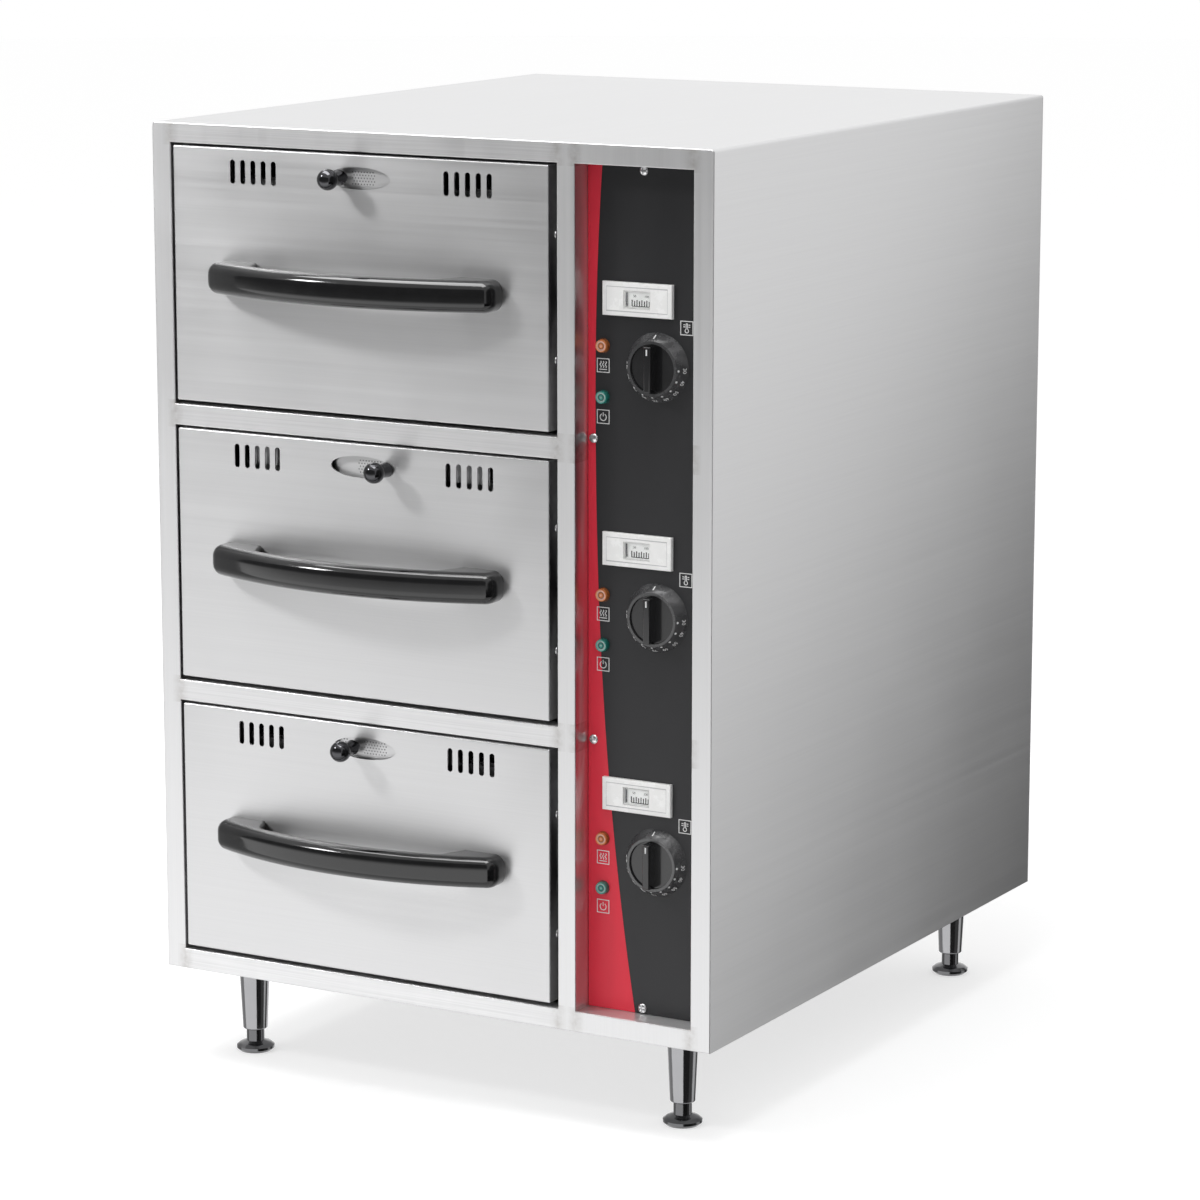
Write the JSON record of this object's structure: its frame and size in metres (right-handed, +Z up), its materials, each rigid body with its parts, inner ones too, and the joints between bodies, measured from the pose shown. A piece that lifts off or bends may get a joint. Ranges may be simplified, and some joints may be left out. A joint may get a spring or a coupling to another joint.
{
  "type": "countertop warming drawer",
  "caption": "Stainless countertop warming cabinet with stacked pull-out pan drawers, bowed handles, sliding vents and a recessed control bay with dials, lamps and thermometers.",
  "frame": {"origin": "middle of the overall bounding box at floor level, under the levelling feet", "axes": "+Z up; -Y towards the user, the way the drawers open; +X to the user's right, where the control bay is"},
  "size_m": [0.547, 0.71, 0.834],
  "materials": {
    "brushed_stainless": "brushed, satin",
    "drawer_stainless": "brushed, satin",
    "liner_steel": "mill finish, dull",
    "pan_steel": "drawn, polished",
    "mineral_wool": "rough, fibrous",
    "element_sheath": "oxidised, dull",
    "runner_steel": "zinc plated",
    "panel_face": "dark overlay with a red margin, satin",
    "screw_steel": "polished",
    "thermometer_white": "smooth",
    "thermometer_clear": "clear",
    "pointer_grey": "smooth",
    "dial_black": "glossy",
    "thermostat_body": "moulded",
    "lamp_amber": "moulded lens",
    "lamp_green": "moulded lens",
    "chrome_plate": "polished",
    "gland_black": "moulded",
    "handle_black": "glossy",
    "shutter_steel": "brushed",
    "ball_chrome": "dark, polished"
  },
  "bodies": {
    "cabinet": {"outer_casing": "brushed_stainless", "front_frame": "brushed_stainless", "base_panel": "brushed_stainless", "rear_panel": "brushed_stainless", "inner_liner": "liner_steel", "cavity_decks": "liner_steel", "insulation": "mineral_wool", "heating_elements": "element_sheath", "outer_rails": "runner_steel", "control_panel": "panel_face", "panel_screws": "screw_steel", "rear_screws": "screw_steel", "thermometer_cases": "thermometer_white", "thermometer_windows": "thermometer_clear", "knob_bezels": "dial_black", "thermostats": "thermostat_body", "pilot_lamps_amber": "lamp_amber", "pilot_lamps_green": "lamp_green", "legs": "chrome_plate", "cable_gland": "gland_black"},
    "levelling_front_left": {"foot_front_left": "chrome_plate"},
    "levelling_front_right": {"foot_front_right": "chrome_plate"},
    "levelling_rear_left": {"foot_rear_left": "chrome_plate"},
    "levelling_rear_right": {"foot_rear_right": "chrome_plate"},
    "drawer_top": {"drawer_front_top": "drawer_stainless", "inner_plate_top": "drawer_stainless", "pan_carrier_top": "liner_steel", "food_pan_top": "pan_steel", "handle_top": "handle_black", "drawer_screws_top": "screw_steel", "inner_rails_top": "runner_steel"},
    "runner_top": {"middle_rails_top": "runner_steel"},
    "vent_top": {"vent_shutter_top": "shutter_steel", "vent_knob_top": "ball_chrome"},
    "dial_top": {"thermostat_knob_top": "dial_black"},
    "pointer_top": {"thermometer_pointer_top": "pointer_grey"},
    "drawer_middle": {"drawer_front_middle": "drawer_stainless", "inner_plate_middle": "drawer_stainless", "pan_carrier_middle": "liner_steel", "food_pan_middle": "pan_steel", "handle_middle": "handle_black", "drawer_screws_middle": "screw_steel", "inner_rails_middle": "runner_steel"},
    "runner_middle": {"middle_rails_middle": "runner_steel"},
    "vent_middle": {"vent_shutter_middle": "shutter_steel", "vent_knob_middle": "ball_chrome"},
    "dial_middle": {"thermostat_knob_middle": "dial_black"},
    "pointer_middle": {"thermometer_pointer_middle": "pointer_grey"},
    "drawer_bottom": {"drawer_front_bottom": "drawer_stainless", "inner_plate_bottom": "drawer_stainless", "pan_carrier_bottom": "liner_steel", "food_pan_bottom": "pan_steel", "handle_bottom": "handle_black", "drawer_screws_bottom": "screw_steel", "inner_rails_bottom": "runner_steel"},
    "runner_bottom": {"middle_rails_bottom": "runner_steel"},
    "vent_bottom": {"vent_shutter_bottom": "shutter_steel", "vent_knob_bottom": "ball_chrome"},
    "dial_bottom": {"thermostat_knob_bottom": "dial_black"},
    "pointer_bottom": {"thermometer_pointer_bottom": "pointer_grey"}
  },
  "joints": [
    {"name": "foot_front_left_thread", "type": "slide", "parent": "cabinet", "child": "levelling_front_left", "axis": [0, 0, 1], "range_m": [0, 0.01]},
    {"name": "foot_front_right_thread", "type": "slide", "parent": "cabinet", "child": "levelling_front_right", "axis": [0, 0, 1], "range_m": [0, 0.01]},
    {"name": "foot_rear_left_thread", "type": "slide", "parent": "cabinet", "child": "levelling_rear_left", "axis": [0, 0, 1], "range_m": [0, 0.01]},
    {"name": "foot_rear_right_thread", "type": "slide", "parent": "cabinet", "child": "levelling_rear_right", "axis": [0, 0, 1], "range_m": [0, 0.01]},
    {"name": "drawer_slide_top", "type": "slide", "parent": "cabinet", "child": "drawer_top", "axis": [0, -1, 0], "range_m": [0, 0.5]},
    {"name": "runner_slide_top", "type": "slide", "parent": "cabinet", "child": "runner_top", "axis": [0, -1, 0], "range_m": [0, 0.25]},
    {"name": "vent_slide_top", "type": "slide", "parent": "drawer_top", "child": "vent_top", "axis": [1, 0, 0], "range_m": [-0.007, 0.043]},
    {"name": "thermostat_turn_top", "type": "hinge", "parent": "cabinet", "child": "dial_top", "pos_m": [0.2105, -0.285, 0.6518], "axis": [0, 1, 0], "range_deg": [0, 290]},
    {"name": "thermometer_travel_top", "type": "slide", "parent": "cabinet", "child": "pointer_top", "axis": [1, 0, 0], "range_m": [0, 0.02]},
    {"name": "drawer_slide_middle", "type": "slide", "parent": "cabinet", "child": "drawer_middle", "axis": [0, -1, 0], "range_m": [0, 0.5]},
    {"name": "runner_slide_middle", "type": "slide", "parent": "cabinet", "child": "runner_middle", "axis": [0, -1, 0], "range_m": [0, 0.25]},
    {"name": "vent_slide_middle", "type": "slide", "parent": "drawer_middle", "child": "vent_middle", "axis": [1, 0, 0], "range_m": [-0.05, 0]},
    {"name": "thermostat_turn_middle", "type": "hinge", "parent": "cabinet", "child": "dial_middle", "pos_m": [0.2105, -0.285, 0.4434], "axis": [0, 1, 0], "range_deg": [0, 290]},
    {"name": "thermometer_travel_middle", "type": "slide", "parent": "cabinet", "child": "pointer_middle", "axis": [1, 0, 0], "range_m": [0, 0.02]},
    {"name": "drawer_slide_bottom", "type": "slide", "parent": "cabinet", "child": "drawer_bottom", "axis": [0, -1, 0], "range_m": [0, 0.5]},
    {"name": "runner_slide_bottom", "type": "slide", "parent": "cabinet", "child": "runner_bottom", "axis": [0, -1, 0], "range_m": [0, 0.25]},
    {"name": "vent_slide_bottom", "type": "slide", "parent": "drawer_bottom", "child": "vent_bottom", "axis": [1, 0, 0], "range_m": [-0.013, 0.037]},
    {"name": "thermostat_turn_bottom", "type": "hinge", "parent": "cabinet", "child": "dial_bottom", "pos_m": [0.2105, -0.285, 0.235], "axis": [0, 1, 0], "range_deg": [0, 290]},
    {"name": "thermometer_travel_bottom", "type": "slide", "parent": "cabinet", "child": "pointer_bottom", "axis": [1, 0, 0], "range_m": [0, 0.02]}
  ],
  "couplings": [
    {"joint": "runner_slide_top", "follows": "drawer_slide_top", "ratio": 0.5},
    {"joint": "runner_slide_middle", "follows": "drawer_slide_middle", "ratio": 0.5},
    {"joint": "runner_slide_bottom", "follows": "drawer_slide_bottom", "ratio": 0.5}
  ]
}
